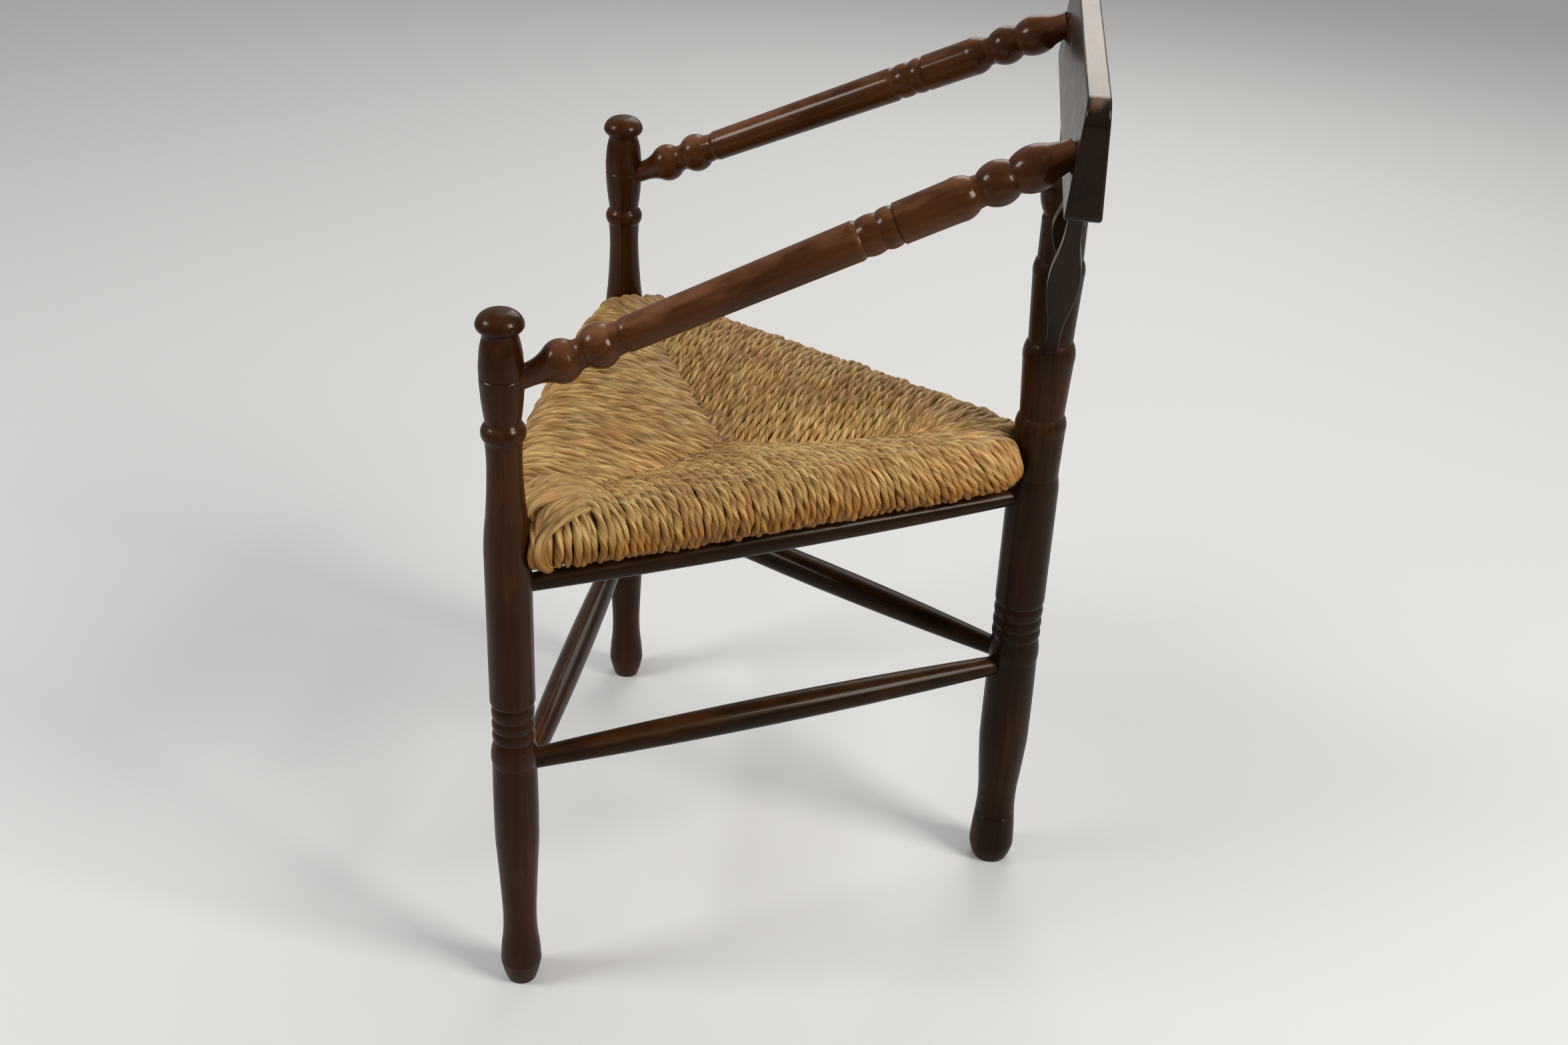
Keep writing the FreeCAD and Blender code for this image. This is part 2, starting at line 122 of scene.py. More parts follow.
class Sheet:
    """A material's node tree, with short ways to add nodes and links."""

    def __init__(self, name: str) -> None:
        """Starts a material.

        Args:
            name: the material's name.
        """
        self.material = bpy.data.materials.new(name)
        self.material.use_nodes = True
        self.tree = self.material.node_tree
        self.tree.nodes.clear()
        self.surface = self.add("BsdfPrincipled")
        output = self.add("OutputMaterial")
        self.join(self.surface.outputs["BSDF"], output.inputs["Surface"])

    def add(self, kind: str, **values: object) -> bpy.types.Node:
        """Adds a shader node.

        Args:
            kind: the node's type name without its "ShaderNode" prefix.
            values: properties of the node, or its inputs by name when no property has that name.

        Returns:
            The new node.
        """
        made = self.tree.nodes.new("ShaderNode" + kind)
        for name, value in values.items():
            if hasattr(made, name):
                setattr(made, name, value)
            else:
                made.inputs[name.replace("_", " ")].default_value = value
        return made

    def join(self, source: bpy.types.NodeSocket, target: bpy.types.NodeSocket) -> None:
        """Links two sockets."""
        self.tree.links.new(source, target)

    def feed(self, target: bpy.types.NodeSocket, value: Value | tuple) -> None:
        """Gives an input what it reads.

        Args:
            target: the input.
            value: a socket to link to it, or its own constant number or linear colour.
        """
        if isinstance(value, bpy.types.NodeSocket):
            self.join(value, target)
        else:
            target.default_value = (*value, 1.0) if isinstance(value, tuple) else value

    def finish(self, **values: Value | tuple) -> None:
        """Sets the surface's inputs.

        Args:
            values: a socket, number or linear colour for each input, with _ for a space in its name.
        """
        for name, value in values.items():
            self.feed(self.surface.inputs[name.replace("_", " ")], value)

    def math(self, operation: str, first: Value, second: Value = 0.0, third: Value = 0.0) -> Value:
        """Adds a Math node.

        Args:
            operation: the node's operation.
            first: first input.
            second: second input.
            third: third input, for the operations that have one.

        Returns:
            The result's socket.
        """
        made = self.add("Math", operation=operation)
        for index, value in enumerate((first, second, third)):
            self.feed(made.inputs[index], value)
        return made.outputs[0]

    def held(self, value: Value, most: float = 1.0) -> Value:
        """Holds a value between 0 and a highest value."""
        return self.math("MINIMUM", self.math("MAXIMUM", value, 0.0), most)

    def layered(self, start: float, layers: list) -> Value:
        """Adds weighted patterns up.

        Args:
            start: the sum when every pattern is 0.
            layers: pairs of a pattern's socket and its weight.

        Returns:
            The sum's socket.
        """
        total = start
        for socket, weight in layers:
            total = self.math("MULTIPLY_ADD", socket, weight, total)
        return total

    def parts(self, vector: bpy.types.NodeSocket) -> bpy.types.bpy_prop_collection:
        """Splits a vector.

        Args:
            vector: the vector's socket.

        Returns:
            Its three parts, as sockets named X, Y and Z.
        """
        made = self.add("SeparateXYZ")
        self.join(vector, made.inputs[0])
        return made.outputs

    def facing_up(self) -> bpy.types.NodeSocket:
        """How far the surface faces up, from -1 to 1."""
        return self.parts(self.add("NewGeometry").outputs["Normal"])["Z"]

    def where(self) -> bpy.types.NodeSocket:
        """The place on the object, in metres."""
        return self.add("TexCoord").outputs["Object"]

    def along(self, start: Vector, end: Vector) -> bpy.types.NodeSocket:
        """The place on the object, in metres, with the third axis along a line.

        Args:
            start: a point on the line.
            end: another point on it.

        Returns:
            The place's socket.
        """
        turn = (end - start).to_track_quat("Z", "Y").to_euler()
        turned = self.add("Mapping", vector_type="TEXTURE", Location=start, Rotation=turn)
        self.join(self.where(), turned.inputs["Vector"])
        return turned.outputs["Vector"]

    def noise(self, vector: bpy.types.NodeSocket, pattern: Pattern, flat: bool = False) -> Value:
        """Adds a pattern's noise.

        Args:
            vector: where the noise is read.
            pattern: its stretch and detail.
            flat: whether the third axis is left out.

        Returns:
            The noise's value socket, about 0.5 on average.
        """
        scaled = self.add("Mapping", Scale=pattern.stretch)
        self.join(vector, scaled.inputs["Vector"])
        kind = "2D" if flat else "3D"
        made = self.add("TexNoise", noise_dimensions=kind, Scale=1.0, Detail=pattern.detail)
        self.join(scaled.outputs["Vector"], made.inputs["Vector"])
        return made.outputs["Fac"]

    def ramp(self, value: bpy.types.NodeSocket, places: tuple, colours: tuple) -> bpy.types.NodeSocket:
        """Colours by value.

        Args:
            value: the socket to read.
            places: the values that have a colour of their own, lowest first.
            colours: a linear colour for each of them.

        Returns:
            The colour socket.
        """
        made = self.add("ValToRGB")
        band = made.color_ramp
        while len(band.elements) < len(places):
            band.elements.new(0.5)
        for element, place, rgb in zip(band.elements, places, colours):
            element.position = place
            element.color = (*rgb, 1.0)
        self.join(value, made.inputs["Fac"])
        return made.outputs["Color"]

    def blend(self, share: Value, under: bpy.types.NodeSocket, over: Colour, way: str = "MIX") -> Colour:
        """Mixes two colours.

        Args:
            share: how much of the upper one.
            under: the colour socket underneath.
            over: the colour on top, a socket or a linear colour.
            way: the blend type.

        Returns:
            The mixed colour's socket.
        """
        made = self.add("Mix", data_type="RGBA", blend_type=way)
        lower, upper = [socket for socket in made.inputs if socket.type == "RGBA"]
        self.feed(made.inputs[0], share)
        self.join(under, lower)
        self.feed(upper, over)
        return next(socket for socket in made.outputs if socket.type == "RGBA")

    def bump(self, layers: list) -> None:
        """Chains bump nodes into the surface's normal.

        Args:
            layers: pairs of a pattern's socket and the pattern, whose depth is the relief.
        """
        last = None
        for socket, pattern in layers:
            made = self.add("Bump", Strength=1.0, Distance=pattern.depth)
            self.join(socket, made.inputs["Height"])
            if last is not None:
                self.join(last, made.inputs["Normal"])
            last = made.outputs["Normal"]
        self.join(last, self.surface.inputs["Normal"])


@dataclass(frozen=True)
class StainedWood:
    """Dark red-brown stain under a scuffed semi-gloss polish, paler where it is scuffed and, as painted
    light, on faces that look up.
    """

    dark: tuple = (0.0060, 0.0024, 0.0008)
    middle: tuple = (0.0145, 0.0052, 0.0014)
    light: tuple = (0.0400, 0.0140, 0.0036)
    stain_places: tuple = (0.36, 0.52, 0.72)
    grain: Pattern = Pattern((240.0, 240.0, 11.0), 6.0, weight=0.36, depth=0.00016)
    cloud: Pattern = Pattern((16.0, 16.0, 7.0), 3.0, weight=0.66, depth=0.0009)
    pores: Pattern = Pattern((900.0, 900.0, 45.0), 2.0)
    pore_edge: float = 0.66
    pore_share: float = 0.5
    scuff: Pattern = Pattern((70.0, 70.0, 26.0), 5.0)
    # Paler colour for scuffs, also laid on faces that look up as painted light.
    worn_and_lit: tuple = (0.110, 0.043, 0.015)
    wear_and_light: float = 0.25
    wear_and_light_cloud: float = 0.4
    # Weight of facing up in the mix: painted light on upward faces.
    painted_top_light: float = 0.45
    wear_and_light_from: float = 0.86
    wear_and_light_gain: float = 2.7
    roughness: float = 0.23
    roughness_spread: float = 0.26
    specular: float = 0.07
    specular_tint: tuple = (1.0, 0.72, 0.46)
    coat: float = 0.10
    coat_tint: tuple = (1.0, 0.90, 0.76)
    coat_roughness: float = 0.12

    def make(self, name: str, start: Vector, end: Vector) -> bpy.types.Material:
        """Makes the material for one piece.

        Args:
            name: the material's name.
            start: a point on the line that the grain follows.
            end: another point on it.

        Returns:
            The material.
        """
        sheet = Sheet(name)
        along = sheet.along(start, end)
        grain = sheet.noise(along, self.grain)
        cloud = sheet.noise(along, self.cloud)
        scuff = sheet.noise(along, self.scuff)
        tone = sheet.layered(0.0, [(cloud, self.cloud.weight), (grain, self.grain.weight)])
        colour = sheet.ramp(tone, self.stain_places, (self.dark, self.middle, self.light))
        # Painted light: upward faces mix towards the paler colour, together with random scuffs.
        on_top = sheet.math("MAXIMUM", sheet.facing_up(), 0.0)
        layers = [(cloud, self.wear_and_light_cloud), (scuff, 1.0), (on_top, self.painted_top_light)]
        wear_and_light_level = sheet.math("SUBTRACT", sheet.layered(0.0, layers), self.wear_and_light_from)
        paler = sheet.held(sheet.math("MULTIPLY", wear_and_light_level, self.wear_and_light_gain))
        colour = sheet.blend(sheet.math("MULTIPLY", paler, self.wear_and_light), colour, self.worn_and_lit)
        hole = sheet.math("GREATER_THAN", sheet.noise(along, self.pores), self.pore_edge)
        colour = sheet.blend(sheet.math("MULTIPLY", hole, self.pore_share), colour, self.dark)
        sheet.finish(
            Base_Color=colour,
            Roughness=sheet.math("MULTIPLY_ADD", scuff, self.roughness_spread, self.roughness),
            Specular_IOR_Level=self.specular,
            Specular_Tint=self.specular_tint,
            Coat_Weight=self.coat,
            Coat_Tint=self.coat_tint,
            Coat_Roughness=self.coat_roughness,
        )
        sheet.bump([(cloud, self.cloud), (grain, self.grain)])
        return sheet.material


@dataclass(frozen=True)
class BareWood:
    """Unfinished pale wood of the hidden rails."""

    deep: tuple = (0.40, 0.26, 0.13)
    pale: tuple = (0.56, 0.40, 0.23)
    places: tuple = (0.35, 0.65)
    grain: Pattern = Pattern((220.0, 220.0, 10.0), 5.0, depth=0.0002)
    roughness: float = 0.7

    def make(self, name: str, start: Vector, end: Vector) -> bpy.types.Material:
        """Makes the material for one rail.

        Args:
            name: the material's name.
            start: a point on the line that the grain follows.
            end: another point on it.

        Returns:
            The material.
        """
        sheet = Sheet(name)
        grain = sheet.noise(sheet.along(start, end), self.grain)
        colour = sheet.ramp(grain, self.places, (self.deep, self.pale))
        sheet.finish(Base_Color=colour, Roughness=self.roughness)
        sheet.bump([(grain, self.grain)])
        return sheet.material


@dataclass(frozen=True)
class TwistedRush:
    """Golden rush leaves twisted into cords, lighter and browner from leaf to leaf.

    The cords' UV map is in metres along a cord and in turns around it, so the leaves follow the twist.
    """

    shadow: tuple = (0.055, 0.022, 0.006)
    brown: tuple = (0.205, 0.098, 0.030)
    tan: tuple = (0.362, 0.200, 0.062)
    straw: tuple = (0.620, 0.420, 0.165)
    places: tuple = (0.12, 0.30, 0.48, 0.68)
    tone_start: float = -0.45
    leaf: Pattern = Pattern((32.0, 4.4, 1.0), 2.0, weight=0.66, depth=0.0008)
    streak: Pattern = Pattern((46.0, 13.0, 1.0), 2.0, weight=0.60, depth=0.0006)
    fibre: Pattern = Pattern((60.0, 46.0, 1.0), 2.0, weight=0.32, depth=0.0002)
    patch: Pattern = Pattern((11.0, 11.0, 20.0), 3.0, weight=0.30)
    blush: Pattern = Pattern((19.0, 26.0, 30.0), 2.0)
    ruddy: tuple = (1.0, 0.84, 0.76)
    ruddy_from: float = 0.46
    ruddy_gain: float = 4.5
    ruddy_most: float = 0.6
    # Painted shade: deeper orange multiplied in down the roll's outer side.
    arm_wear_and_roll_shade: tuple = (0.66, 0.46, 0.16)
    roll_z: float = 0.4470
    roll_depth: float = 0.0210
    level_start: float = 1.15
    level_gain: float = 1.6
    strands: int = 2
    # Painted shade in the valleys between strands: how sharp it is and how much shadow colour it mixes in.
    hollow_power: float = 3.0
    hollow_share: float = 0.30
    roughness: float = 0.50
    specular: float = 0.35
    specular_tint: tuple = (1.0, 0.88, 0.66)

    def make(self, name: str) -> bpy.types.Material:
        """Makes the cords' material.

        Args:
            name: the material's name.

        Returns:
            The material.
        """
        sheet = Sheet(name)
        uv = sheet.add("UVMap", uv_map="cord").outputs["UV"]
        where = sheet.where()
        leaves = [(sheet.noise(uv, kind, flat=True), kind) for kind in (self.leaf, self.streak, self.fibre)]
        layers = [*leaves, (sheet.noise(where, self.patch), self.patch)]
        tone = sheet.layered(self.tone_start, [(socket, kind.weight) for socket, kind in layers])
        colour = sheet.ramp(tone, self.places, (self.shadow, self.brown, self.tan, self.straw))
        colour = self.redden(sheet, colour, where)
        colour = self.shade_roll_underside(sheet, colour, where)
        # Painted shade in the valleys between each cord's two strands.
        turns = sheet.math("MULTIPLY", sheet.parts(uv)["Y"], self.strands * math.tau)
        ridge = sheet.math("MULTIPLY_ADD", sheet.math("COSINE", turns), 0.5, 0.5)
        hollow = sheet.math("POWER", sheet.math("SUBTRACT", 1.0, ridge), self.hollow_power)
        colour = sheet.blend(sheet.math("MULTIPLY", hollow, self.hollow_share), colour, self.shadow)
        sheet.finish(
            Base_Color=colour,
            Roughness=self.roughness,
            Specular_IOR_Level=self.specular,
            Specular_Tint=self.specular_tint,
        )
        sheet.bump(leaves)
        return sheet.material

    def redden(self, sheet: Sheet, colour: Colour, where: bpy.types.NodeSocket) -> Colour:
        """Turns broad patches of the seat a little redder.

        Args:
            sheet: the material's node tree.
            colour: the colour so far.
            where: the place on the seat.

        Returns:
            The new colour's socket.
        """
        over = sheet.math("SUBTRACT", sheet.noise(where, self.blush), self.ruddy_from)
        share = sheet.held(sheet.math("MULTIPLY", over, self.ruddy_gain), self.ruddy_most)
        return sheet.blend(share, colour, self.ruddy, "MULTIPLY")

    def shade_roll_underside(self, sheet: Sheet, colour: Colour, where: bpy.types.NodeSocket) -> Colour:
        """Paints shade down the roll's outer side, darker where it turns away from the light, but not in the
        seat's sunk middle.

        Args:
            sheet: the material's node tree.
            colour: the colour so far.
            where: the place on the seat.

        Returns:
            The new colour's socket.
        """
        sunk = sheet.math("SUBTRACT", self.roll_z, sheet.parts(where)["Z"])
        low = sheet.held(sheet.math("DIVIDE", sunk, self.roll_depth))
        level = sheet.math("MULTIPLY", sheet.facing_up(), self.level_gain)
        side = sheet.held(sheet.math("SUBTRACT", self.level_start, level))
        return sheet.blend(sheet.math("MULTIPLY", low, side), colour, self.arm_wear_and_roll_shade, "MULTIPLY")


@dataclass(frozen=True)
class LooseStraw:
    """Loose straw between the two layers of cords, coloured dark brown as painted shade in the gaps between
    the cords.
    """

    # Dark brown stands in for the shade in the gaps between cords.
    brown: tuple = (0.05, 0.02, 0.006)
    tan: tuple = (0.20, 0.10, 0.03)
    places: tuple = (0.35, 0.7)
    straw: Pattern = Pattern((160.0, 600.0, 400.0), 4.0, depth=0.001)
    roughness: float = 0.8

    def make(self, name: str) -> bpy.types.Material:
        """Makes the packing's material.

        Args:
            name: the material's name.

        Returns:
            The material.
        """
        sheet = Sheet(name)
        straw = sheet.noise(sheet.where(), self.straw)
        colour = sheet.ramp(straw, self.places, (self.brown, self.tan))
        sheet.finish(Base_Color=colour, Roughness=self.roughness)
        sheet.bump([(straw, self.straw)])
        return sheet.material


class Panel(Enum):
    """The three panels of the seat, by the rail that they wrap."""

    FRONT = "front"
    LEFT = "left"
    RIGHT = "right"


@dataclass(frozen=True)
class SeatPlan:
    """Rails and profile of the rush seat.

    A reach is how far the roll stands out from the rail at least and at most, and the power that shapes
    it along the rail. Thinning, skew, rise, tuck and press each have a size, in metres or as a share,
    and the metres that they fade over.
    """

    corner_x: float = 0.22746
    front_y: float = FRONT_LINE_Y - 0.0006
    back_y: float = 0.39893 + FRONT_LINE_Y
    side_rail_z: float = 0.431
    front_rail_z: float = 0.435
    roll_height: float = 0.0208
    front_reach: tuple = (0.0120, 0.0275, 0.6)
    side_reach: tuple = (0.0180, 0.0238, 0.35)
    sag: float = 0.037
    under_sag: float = 0.006
    bulge: float = 1.5
    post_thinning: tuple = (0.14, 0.07)
    front_clearance: float = 0.0217
    front_skew: tuple = (0.0080, 0.050)
    back_clearance: float = 0.0262
    back_skew: tuple = (0.0300, 0.200)
    back_skew_most: float = 0.85
    back_rise: tuple = (0.0070, 0.10)
    back_tuck: tuple = (0.0050, 0.08)
    press_from: float = 0.064
    press: tuple = (0.0035, 0.003)
    press_outside: float = 0.3
    press_at_seam: float = 0.5
    seam_dive: float = 0.006
    span_step: float = 0.008
    least_span_steps: int = 3
    round_steps: int = 12
    post_clearance: float = 0.0245
    post_dive: tuple = (0.022, 0.004)
    short_cord_steps: int = 8
    short_cord_places: tuple = (0.0035, 0.0100)


@dataclass(frozen=True)
class CordStyle:
    """How the rush cords are spaced and twisted, and how uneven they are.

    Pairs of numbers are the least and the most of what chance picks, unless their name says more.
    """

    pitch: float = 0.0060
    radius: float = 0.0040
    lobe_offset: float = 0.29
    ring_points: int = 14
    step: float = 0.0031
    least_steps: int = 6
    lay: float = 0.036
    wander: float = 0.0010
    bends_per_metre: float = 16.0
    noise_span: float = 60.0
    swell: float = 0.07
    swell_per_metre: float = 190.0
    tip: float = 0.5
    uv_apart: tuple = (0.73, 7.0)
    place: tuple = (-0.0006, 0.0006)
    lift: tuple = (-0.0009, 0.0010)
    thickness: tuple = (0.88, 1.10)
    lay_spread: tuple = (0.75, 1.35)
    past_seam: tuple = (0.0005, 0.0040)
    front_lay: float = 1.9
    back_lay: tuple = (0.9, 0.11)
    corner_lay: tuple = (0.5, 0.04)
    corner_lay_from: float = 0.05
    short_cord_lay: float = 2.4


@dataclass(frozen=True)
class FoldGuides:
    """Lines that bound the folded strands of a front corner, from the seam outwards.

    Points are metres from the middle of the front posts' line, on the sitter's left.
    """

    curl: tuple = (
        (0.1570, 0.0540, 0.4400),
        (0.1535, 0.0470, 0.4456),
        (0.1500, 0.0340, 0.4486),
        (0.1520, 0.0200, 0.4516),
        (0.1620, 0.0100, 0.4531),
        (0.1760, 0.0040, 0.4536),
        (0.1900, -0.0020, 0.4536),
        (0.2000, -0.0120, 0.4476),
        (0.2030, -0.0165, 0.4400),
        (0.2020, -0.0165, 0.4300),
        (0.1980, -0.0100, 0.4200),
    )
    tuck: tuple = (
        (0.1720, 0.0585, 0.4400),
        (0.1730, 0.0540, 0.4478),
        (0.1780, 0.0430, 0.4513),
        (0.1850, 0.0320, 0.4538),
        (0.1930, 0.0230, 0.4548),
        (0.1990, 0.0165, 0.4548),
        (0.2045, 0.0120, 0.4538),
        (0.2080, 0.0100, 0.4488),
        (0.2085, 0.0096, 0.4450),
        (0.2085, 0.0096, 0.4400),
        (0.2085, 0.0096, 0.4350),
    )
    flank: tuple = (
        (0.1745, 0.0600, 0.4400),
        (0.1760, 0.0560, 0.4478),
        (0.1840, 0.0450, 0.4513),
        (0.1940, 0.0345, 0.4538),
        (0.2030, 0.0275, 0.4538),
        (0.2120, 0.0235, 0.4518),
        (0.2210, 0.0225, 0.4468),
        (0.2290, 0.0228, 0.4420),
        (0.2330, 0.0232, 0.4340),
        (0.2330, 0.0232, 0.4250),
        (0.2260, 0.0236, 0.4150),
    )
    wrap: tuple = (
        (0.1890, 0.0620, 0.4400),
        (0.1900, 0.0590, 0.4478),
        (0.2000, 0.0490, 0.4503),
        (0.2130, 0.0400, 0.4498),
        (0.2240, 0.0330, 0.4480),
        (0.2335, 0.0280, 0.4410),
        (0.2372, 0.0260, 0.4330),
        (0.2360, 0.0265, 0.4240),
        (0.2290, 0.0290, 0.4150),
        (0.2190, 0.0300, 0.4110),
        (0.2060, 0.0260, 0.4110),
    )
    inner_strands: int = 7
    outer_strands: int = 5
    lift: tuple = (-0.0006, 0.0008)
    thickness: tuple = (1.0, 1.16)
    lay: tuple = (2.6, 4.0)


@dataclass
class PanelFrame:
    """Lines of one panel: its rail's two ends, the way inwards and the seat's middle.

    A panel that fans at one end has a seam there that starts further in: fan is that least share of
    the way to the middle and how fast it grows.
    """

    start: Vector
    end: Vector
    middle: Vector
    rail_z: float
    reach: tuple
    fan_start: bool
    fan_end: bool
    fan: tuple = (0.34, 0.22)
    along: Vector = field(init=False)
    inward: Vector = field(init=False)
    length: float = field(init=False)
    peak: float = field(init=False)

    def __post_init__(self) -> None:
        """Works out the rail's directions, its length and where it's nearest to the middle."""
        run = self.end - self.start
        self.length = run.length
        self.along = run.normalized()
        across = Vector((-self.along.y, self.along.x, 0.0))
        to_middle = self.middle - self.start
        self.inward = across if across.dot(to_middle) > 0.0 else -across
        self.peak = to_middle.dot(self.along)

    def seam_point(self, station: float) -> tuple:
        """Where a cord at a station along the rail meets the seam.

        Args:
            station: metres along the rail from its start.

        Returns:
            The point in plan and its share of the way from the corner to the middle.
        """
        from_start = station <= self.peak
        corner = self.start if from_start else self.end
        gone = station if from_start else self.length - station
        whole = self.peak if from_start else self.length - self.peak
        share = gone / whole
        fanned = self.fan_start if from_start else self.fan_end
        if fanned:
            least, growth = self.fan
            share = max(share, least + growth * share)
        return corner.lerp(self.middle, share), share

    def corner_gaps(self, station: float) -> tuple:
        """How far a station is from the back corner and from the nearest front corner.

        Args:
            station: metres along the rail from its start.

        Returns:
            The two distances, the first one infinite on the front panel, and the way to the front corner.
        """
        rest = self.length - station
        if self.fan_start:
            return station, rest, self.along
        if self.fan_end:
            return rest, station, -self.along
        return math.inf, min(station, rest), -self.along if station < rest else self.along

    def outward_reach(self, station: float) -> float:
        """How far the roll's centre line stands out from the rail's axis.

        Args:
            station: metres along the rail from its start.

        Returns:
            The distance in metres.
        """
        least, most, power = self.reach
        wave = max(math.sin(math.pi * station / self.length), 0.0)
        return least + (most - least) * wave**power


class CordBundle:
    """Gathers cords as splines of one curve with a two-strand profile, then makes them a mesh."""

    def __init__(self, name: str, style: CordStyle, seed: int) -> None:
        """Starts an empty bundle.

        Args:
            name: the finished piece's name.
            style: its cords' section, twist and unevenness.
            seed: where its random draws start.
        """
        self.name = name
        self.style = style
        self.chance = random.Random(seed)
        self.lengths: list[float] = []
        self.counts: list[int] = []
        self.profile = self._profile()
        self.curve = bpy.data.curves.new(name, "CURVE")
        self.curve.dimensions = "3D"
        self.curve.bevel_mode = "OBJECT"
        self.curve.bevel_object = self.profile
        self.curve.use_fill_caps = True
        self.curve.twist_mode = "MINIMUM"

    def _profile(self) -> bpy.types.Object:
        """Draws the section of two strands laid side by side, for a cord of radius 1.

        Returns:
            The section's curve object.
        """
        flat = bpy.data.curves.new(f"{self.name}_section", "CURVE")
        flat.dimensions = "2D"
        line = flat.splines.new("POLY")
        count = self.style.ring_points
        offset = self.style.lobe_offset
        lobe = 1.0 - offset
        line.points.add(count - 1)
        for index, point in enumerate(line.points):
            turn = -math.tau * index / count
            reach = offset * abs(math.cos(turn)) + math.sqrt(lobe**2 - (offset * math.sin(turn)) ** 2)
            point.co = (reach * math.cos(turn), reach * math.sin(turn), 0.0, 1.0)
        line.use_cyclic_u = True
        made = bpy.data.objects.new(f"{self.name}_section", flat)
        bpy.context.scene.collection.objects.link(made)
        return made

    def _uneven(self, corners: list, shift: float) -> tuple:
        """Divides a centre line evenly and lets it wander a little.

        Args:
            corners: points of the line.
            shift: where in the noise this cord reads its wandering.

        Returns:
            The points as rows, and each one's distance along the line.
        """
        style = self.style
        line = np.array([tuple(point) for point in corners])
        gaps = np.linalg.norm(np.diff(line, axis=0), axis=1)
        far = np.concatenate([[0.0], np.cumsum(gaps)])
        count = max(style.least_steps, int(round(far[-1] / style.step))) + 1
        wanted = np.linspace(0.0, far[-1], count)
        path = np.stack([np.interp(wanted, far, line[:, axis]) for axis in range(3)], axis=1)
        bends = style.bends_per_metre
        for row in path:
            where = Vector((row[0] * bends + shift, row[1] * bends - shift, row[2] * bends))
            row += np.array(noise.noise_vector(where)) * style.wander
        return path, wanted

    def add(self, corners: list, thickness: float = 1.0, lay: float = 1.0) -> None:
        """Adds one cord.

        Args:
            corners: points of its centre line.
            thickness: its radius against the style's.
            lay: its length of one twist against the style's.
        """
        style = self.style
        shift = self.chance.uniform(0.0, style.noise_span)
        path, along = self._uneven(corners, shift)
        spline = self.curve.splines.new("POLY")
        spline.points.add(len(path) - 1)
        phase = self.chance.uniform(0.0, math.tau)
        turn = math.tau / (style.lay * lay)
        radius = style.radius * thickness
        for point, place, gone in zip(spline.points, path, along):
            point.co = (*place, 1.0)
            point.tilt = phase - turn * gone
            point.radius = radius * (1.0 + style.swell * math.sin(gone * style.swell_per_metre + shift))
        for end in (spline.points[0], spline.points[-1]):
            end.radius = radius * style.tip
        self.lengths.append(along[-1])
        self.counts.append(len(path))

    def _place_uvs(self, mesh: bpy.types.Mesh) -> None:
        """Stretches the UVs to metres along each cord and turns around it, apart from cord to cord.

        Args:
            mesh: the cords' mesh, whose end caps come before the cords' sides.
        """
        layer = mesh.uv_layers[0]
        layer.name = "cord"
        flat = np.zeros(len(mesh.loops) * 2, dtype=np.float32)
        layer.data.foreach_get("uv", flat)
        pairs = flat.reshape(-1, 2)
        sides = [(count - 1) * self.style.ring_points * QUAD_CORNERS for count in self.counts]
        first = len(pairs) - sum(sides)
        pairs[:first] = 0.0
        scale = np.repeat(self.lengths, sides)
        order = np.repeat(np.arange(len(sides)), sides)
        along_apart, around_apart = self.style.uv_apart
        pairs[first:, 0] = pairs[first:, 0] * scale + order * along_apart
        pairs[first:, 1] += order * around_apart
        layer.data.foreach_set("uv", pairs.ravel())

    def build(self, material: bpy.types.Material) -> bpy.types.Object:
        """Makes the mesh object.

        Args:
            material: what the cords are made of.

        Returns:
            The new object, at the origin.
        """
        drawn = bpy.data.objects.new(f"{self.name}_drawn", self.curve)
        bpy.context.scene.collection.objects.link(drawn)
        graph = bpy.context.evaluated_depsgraph_get()
        mesh = bpy.data.meshes.new_from_object(drawn.evaluated_get(graph))
        mesh.name = self.name
        self._place_uvs(mesh)
        mesh.shade_smooth()
        mesh.materials.clear()
        mesh.materials.append(material)
        made = bpy.data.objects.new(self.name, mesh)
        bpy.context.scene.collection.objects.link(made)
        for helper in (drawn, self.profile):
            bpy.data.objects.remove(helper)
        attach(made, BODY)
        LOG.info("%s: %d cords, %.2f m in all", self.name, len(self.counts), sum(self.lengths))
        return made


